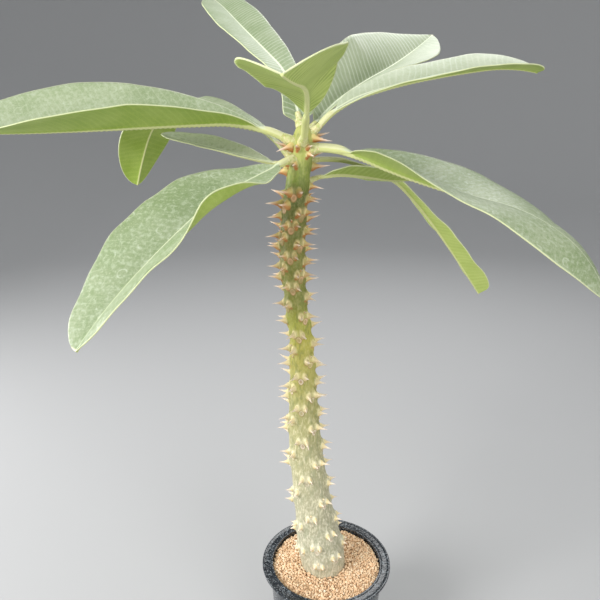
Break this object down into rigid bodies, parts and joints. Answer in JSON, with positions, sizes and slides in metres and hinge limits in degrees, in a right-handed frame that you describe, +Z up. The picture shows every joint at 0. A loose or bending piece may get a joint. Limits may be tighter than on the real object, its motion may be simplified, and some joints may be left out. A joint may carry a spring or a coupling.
{
  "type": "potted pachypodium",
  "caption": "Potted succulent: slim, slightly curved spiny green trunk with long folded leaves in a loose crown, standing in a round black pot of tan grit.",
  "frame": {"origin": "centre of the pot's flat underside, where the object stands", "axes": "+Z up along the pot's own axis, -Y towards the front that the picture shows, +X to its right"},
  "size_m": [0.3702, 0.3303, 0.5496],
  "materials": {
    "pot": "gloss",
    "soil": "matte, grainy",
    "trunk": "satin living skin",
    "leaf": "satin, waxy"
  },
  "bodies": {
    "root": {"pot": "pot", "soil": "soil", "trunk": "trunk", "leaf_01": "leaf", "leaf_02": "leaf", "leaf_03": "leaf", "leaf_04": "leaf", "leaf_05": "leaf", "leaf_06": "leaf", "leaf_07": "leaf", "leaf_08": "leaf", "leaf_09": "leaf", "leaf_10": "leaf", "leaf_11": "leaf"}
  },
  "joints": []
}
